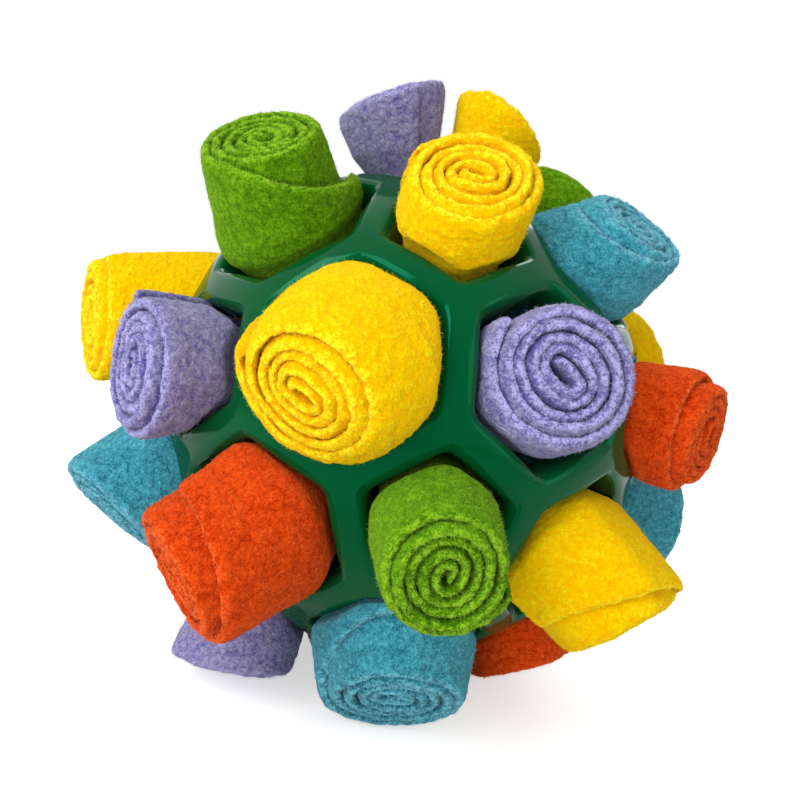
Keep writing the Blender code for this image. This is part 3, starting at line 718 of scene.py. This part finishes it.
for seed, (name, roll) in enumerate(ROLLS.items()):
    points, hidden_in_shade, lip, nap, length = wound(roll, pulls[name], PAIR_SIDES.get(name, 0), seed)
    mesh = flat_strip.copy()
    mesh.name = name + "_fleece"
    mesh.vertices.foreach_set("co", points.astype(np.float32).ravel())
    write_floats(mesh, "hidden_in_shade", hidden_in_shade)
    write_floats(mesh, "lip", lip)
    write_floats(mesh, "nap", nap)
    mesh.update()
    if roll.hand > 0:
        mesh.flip_normals()
    mesh.materials.append(fleeces[slots[name]])
    piece = bpy.data.objects.new(name + "_fleece", mesh)
    bpy.context.scene.collection.objects.link(piece)

    random = np.random.default_rng(len(ROLLS) + seed)
    fuzz_mesh = fibre_field.copy()
    fuzz_mesh.name = name + "_fuzz"
    fibre_points = standing_fibres(mesh, hidden_in_shade, lip, random)
    fuzz_mesh.vertices.foreach_set("co", fibre_points.astype(np.float32).ravel())
    # the fibres get no painted shade and are painted pale at random: a painted highlight on the fuzz
    write_floats(fuzz_mesh, "hidden_in_shade", np.zeros(FIBRES * len(spike_points)))
    write_floats(fuzz_mesh, "lip", np.repeat(random.uniform(FIBRE_PALENESS, 1, FIBRES), len(spike_points)))
    write_floats(fuzz_mesh, "nap", np.repeat(random.uniform(0, 1, FIBRES), len(spike_points)))
    write_floats(fuzz_mesh, "fuzz_highlight_share", np.repeat(random.uniform(0, 1, FIBRES), len(spike_points)))
    fuzz_mesh.update()
    fuzz_mesh.materials.append(fleeces[slots[name]])
    fuzz = bpy.data.objects.new(name + "_fuzz", fuzz_mesh)
    bpy.context.scene.collection.objects.link(fuzz)

    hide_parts(name)
    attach(piece, name)
    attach(fuzz, name)

# The floor and the light
# A plain white table that runs on into a white room, under four large soft lamps and a soft white sky.
FLOOR_SIZE = 8.0
FLOOR_GLOW = 0.56  # for the camera alone, so that the floor is white and keeps the toy's shadow
SKY_LIGHT = 0.55  # on the toy, where 1 is what the camera and the rubber's gloss see
table = bmesh.new()
bmesh.ops.create_grid(table, x_segments=2, y_segments=2, size=FLOOR_SIZE / 2)
table_mesh = bpy.data.meshes.new("table")
table.to_mesh(table_mesh)
table.free()
floor = bpy.data.objects.new("table", table_mesh)
bpy.context.scene.collection.objects.link(floor)
white = bpy.data.materials.new("white_table")
white.use_nodes = True
nodes = white.node_tree
shader = nodes.nodes["Principled BSDF"]
shader.inputs["Base Color"].default_value = (0.82, 0.82, 0.82, 1)
shader.inputs["Roughness"].default_value = 1.0
shader.inputs["Specular IOR Level"].default_value = 0.0
shader.inputs["Emission Color"].default_value = (1, 1, 1, 1)
seen = add_node(nodes, "ShaderNodeLightPath")
glow = add_node(nodes, "ShaderNodeMath", [
    (0, seen.outputs["Is Camera Ray"]), (1, FLOOR_GLOW)], operation="MULTIPLY")
nodes.links.new(glow.outputs["Value"], shader.inputs["Emission Strength"])
table_mesh.materials.append(white)

room_light = bpy.data.worlds.new("room")
bpy.context.scene.world = room_light
room_light.use_nodes = True
nodes = room_light.node_tree
sky = nodes.nodes["Background"]
seen = add_node(nodes, "ShaderNodeLightPath")
watched = add_node(nodes, "ShaderNodeMath", [
    (0, seen.outputs["Is Camera Ray"]), (1, seen.outputs["Is Glossy Ray"])], operation="MAXIMUM")
brightness = add_node(nodes, "ShaderNodeMapRange", [
    ("Value", watched.outputs["Value"]), ("To Min", SKY_LIGHT), ("To Max", 1.0)])
nodes.links.new(brightness.outputs["Result"], sky.inputs["Strength"])
sky.inputs["Color"].default_value = (1, 1, 1, 1)

# Each lamp's place, its width and its watts. The gloss of the rubber shows all of them but the front one.
LAMPS = {
    "key": ((-0.54, -0.46, 0.68), 0.68, 6.6),
    "fill": ((0.70, -0.50, 0.45), 0.45, 0.9),
    "front": ((-0.35, -0.90, 0.12), 0.60, 4.2),
    "back": ((0.10, 0.70, 0.70), 0.60, 4.0),
}
for name, (place, width, watts) in LAMPS.items():
    lamp = bpy.data.lights.new(name, "AREA")
    lamp.size = width
    lamp.energy = watts
    holder = bpy.data.objects.new(name, lamp)
    holder.location = place
    holder.rotation_euler = (BALL_CENTRE - Vector(place)).to_track_quat("-Z", "Y").to_euler()
    holder.visible_glossy = name != "front"
    bpy.context.scene.collection.objects.link(holder)

# The camera
# It stands in front and a little above, close to the ball, and leans, so that the ball seems to lean.
CAMERA_PLACE = BALL_CENTRE + Vector((0, -3.541, 0.647)) * BALL_RADIUS
CAMERA_LENS = 37.94  # mm, on a sensor 36 mm wide
CAMERA_SHIFT = (-0.00175, 0.01425)
CAMERA_UP = Vector((-0.14668, 0.17770, 0.97309))  # leans to the left
camera_data = bpy.data.cameras.new("camera")
camera_data.lens = CAMERA_LENS
camera_data.sensor_width = 36
camera = bpy.data.objects.new("camera", camera_data)
back = (CAMERA_PLACE - BALL_CENTRE).normalized()
side_way = CAMERA_UP.cross(back).normalized()
facing = Matrix((side_way, back.cross(side_way), back)).transposed()
camera.matrix_world = Matrix.Translation(CAMERA_PLACE) @ facing.to_4x4()
camera_data.shift_x, camera_data.shift_y = CAMERA_SHIFT
bpy.context.scene.collection.objects.link(camera)
bpy.context.scene.camera = camera
bpy.context.scene.view_settings.view_transform = "Standard"
